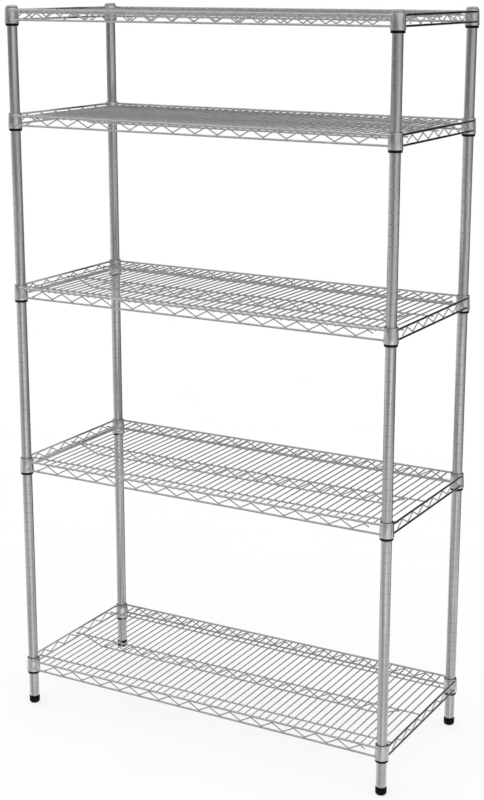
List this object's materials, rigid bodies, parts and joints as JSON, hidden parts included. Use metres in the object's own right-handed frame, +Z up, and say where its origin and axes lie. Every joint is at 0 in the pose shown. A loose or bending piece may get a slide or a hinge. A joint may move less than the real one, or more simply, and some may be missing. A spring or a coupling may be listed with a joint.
{
  "type": "wire shelving rack",
  "caption": "Free-standing chromed wire shelving rack: grooved round posts, lift-off wire shelves on split sleeves, post caps and levelling feet.",
  "frame": {"origin": "on the floor, midway between the four posts", "axes": "+Z up, +X along the rack's long side, +Y towards the back"},
  "size_m": [1.0634, 0.4614, 1.8385],
  "materials": {
    "chrome_post": "bright chrome-plated steel tube with faint lengthwise streaks",
    "chrome_collar": "chrome-plated pressed steel, slightly satin",
    "chrome_wire": "chrome-plated drawn steel wire",
    "cap": "smooth domed cap, metal-look",
    "black_plastic": "black moulded plastic, low sheen",
    "stud_steel": "zinc-plated threaded steel"
  },
  "bodies": {
    "root": {"post_front_left": "chrome_post", "post_front_right": "chrome_post", "post_rear_left": "chrome_post", "post_rear_right": "chrome_post", "post_cap_front_left": "cap", "post_cap_front_right": "cap", "post_cap_rear_left": "cap", "post_cap_rear_right": "cap", "threaded_insert_front_left": "black_plastic", "threaded_insert_front_right": "black_plastic", "threaded_insert_rear_left": "black_plastic", "threaded_insert_rear_right": "black_plastic", "shelf_1_split_sleeves": "black_plastic", "shelf_2_split_sleeves": "black_plastic", "shelf_3_split_sleeves": "black_plastic", "shelf_4_split_sleeves": "black_plastic", "shelf_5_split_sleeves": "black_plastic"},
    "shelf_1": {"shelf_1_corner_collars": "chrome_collar", "shelf_1_perimeter_rails": "chrome_wire", "shelf_1_perimeter_waves": "chrome_wire", "shelf_1_surface_wires": "chrome_wire", "shelf_1_support_wires": "chrome_wire", "shelf_1_centre_truss_rails": "chrome_wire", "shelf_1_centre_truss_wave": "chrome_wire"},
    "shelf_2": {"shelf_2_corner_collars": "chrome_collar", "shelf_2_perimeter_rails": "chrome_wire", "shelf_2_perimeter_waves": "chrome_wire", "shelf_2_surface_wires": "chrome_wire", "shelf_2_support_wires": "chrome_wire", "shelf_2_centre_truss_rails": "chrome_wire", "shelf_2_centre_truss_wave": "chrome_wire"},
    "shelf_3": {"shelf_3_corner_collars": "chrome_collar", "shelf_3_perimeter_rails": "chrome_wire", "shelf_3_perimeter_waves": "chrome_wire", "shelf_3_surface_wires": "chrome_wire", "shelf_3_support_wires": "chrome_wire", "shelf_3_centre_truss_rails": "chrome_wire", "shelf_3_centre_truss_wave": "chrome_wire"},
    "shelf_4": {"shelf_4_corner_collars": "chrome_collar", "shelf_4_perimeter_rails": "chrome_wire", "shelf_4_perimeter_waves": "chrome_wire", "shelf_4_surface_wires": "chrome_wire", "shelf_4_support_wires": "chrome_wire", "shelf_4_centre_truss_rails": "chrome_wire", "shelf_4_centre_truss_wave": "chrome_wire"},
    "shelf_5": {"shelf_5_corner_collars": "chrome_collar", "shelf_5_perimeter_rails": "chrome_wire", "shelf_5_perimeter_waves": "chrome_wire", "shelf_5_surface_wires": "chrome_wire", "shelf_5_support_wires": "chrome_wire", "shelf_5_centre_truss_rails": "chrome_wire", "shelf_5_centre_truss_wave": "chrome_wire"},
    "stud_front_left": {"foot_stud_front_left": "stud_steel"},
    "pad_front_left": {"foot_pad_front_left": "black_plastic"},
    "stud_front_right": {"foot_stud_front_right": "stud_steel"},
    "pad_front_right": {"foot_pad_front_right": "black_plastic"},
    "stud_rear_left": {"foot_stud_rear_left": "stud_steel"},
    "pad_rear_left": {"foot_pad_rear_left": "black_plastic"},
    "stud_rear_right": {"foot_stud_rear_right": "stud_steel"},
    "pad_rear_right": {"foot_pad_rear_right": "black_plastic"}
  },
  "joints": [
    {"name": "shelf_1_lift", "type": "slide", "parent": "root", "child": "shelf_1", "axis": [0, 0, 1], "range_m": [0, 0.5138]},
    {"name": "shelf_2_lift", "type": "slide", "parent": "root", "child": "shelf_2", "axis": [0, 0, 1], "range_m": [0, 0.4122]},
    {"name": "shelf_3_lift", "type": "slide", "parent": "root", "child": "shelf_3", "axis": [0, 0, 1], "range_m": [0, 0.3868]},
    {"name": "shelf_4_lift", "type": "slide", "parent": "root", "child": "shelf_4", "axis": [0, 0, 1], "range_m": [0, 0.209]},
    {"name": "shelf_5_lift", "type": "slide", "parent": "root", "child": "shelf_5", "axis": [0, 0, 1], "range_m": [0, 0.1]},
    {"name": "foot_extend_front_left", "type": "slide", "parent": "root", "child": "stud_front_left", "axis": [0, 0, -1], "range_m": [0, 0.015]},
    {"name": "foot_turn_front_left", "type": "hinge", "parent": "stud_front_left", "child": "pad_front_left", "pos_m": [-0.514, -0.213, 0.01], "axis": [0, 0, 1], "range_deg": [0, 3600]},
    {"name": "foot_extend_front_right", "type": "slide", "parent": "root", "child": "stud_front_right", "axis": [0, 0, -1], "range_m": [0, 0.015]},
    {"name": "foot_turn_front_right", "type": "hinge", "parent": "stud_front_right", "child": "pad_front_right", "pos_m": [0.514, -0.213, 0.01], "axis": [0, 0, 1], "range_deg": [0, 3600]},
    {"name": "foot_extend_rear_left", "type": "slide", "parent": "root", "child": "stud_rear_left", "axis": [0, 0, -1], "range_m": [0, 0.015]},
    {"name": "foot_turn_rear_left", "type": "hinge", "parent": "stud_rear_left", "child": "pad_rear_left", "pos_m": [-0.514, 0.213, 0.01], "axis": [0, 0, 1], "range_deg": [0, 3600]},
    {"name": "foot_extend_rear_right", "type": "slide", "parent": "root", "child": "stud_rear_right", "axis": [0, 0, -1], "range_m": [0, 0.015]},
    {"name": "foot_turn_rear_right", "type": "hinge", "parent": "stud_rear_right", "child": "pad_rear_right", "pos_m": [0.514, 0.213, 0.01], "axis": [0, 0, 1], "range_deg": [0, 3600]}
  ],
  "couplings": [
    {"joint": "foot_extend_front_left", "follows": "foot_turn_front_left", "m_per_rad": 0.00023873},
    {"joint": "foot_extend_front_right", "follows": "foot_turn_front_right", "m_per_rad": 0.00023873},
    {"joint": "foot_extend_rear_left", "follows": "foot_turn_rear_left", "m_per_rad": 0.00023873},
    {"joint": "foot_extend_rear_right", "follows": "foot_turn_rear_right", "m_per_rad": 0.00023873}
  ]
}
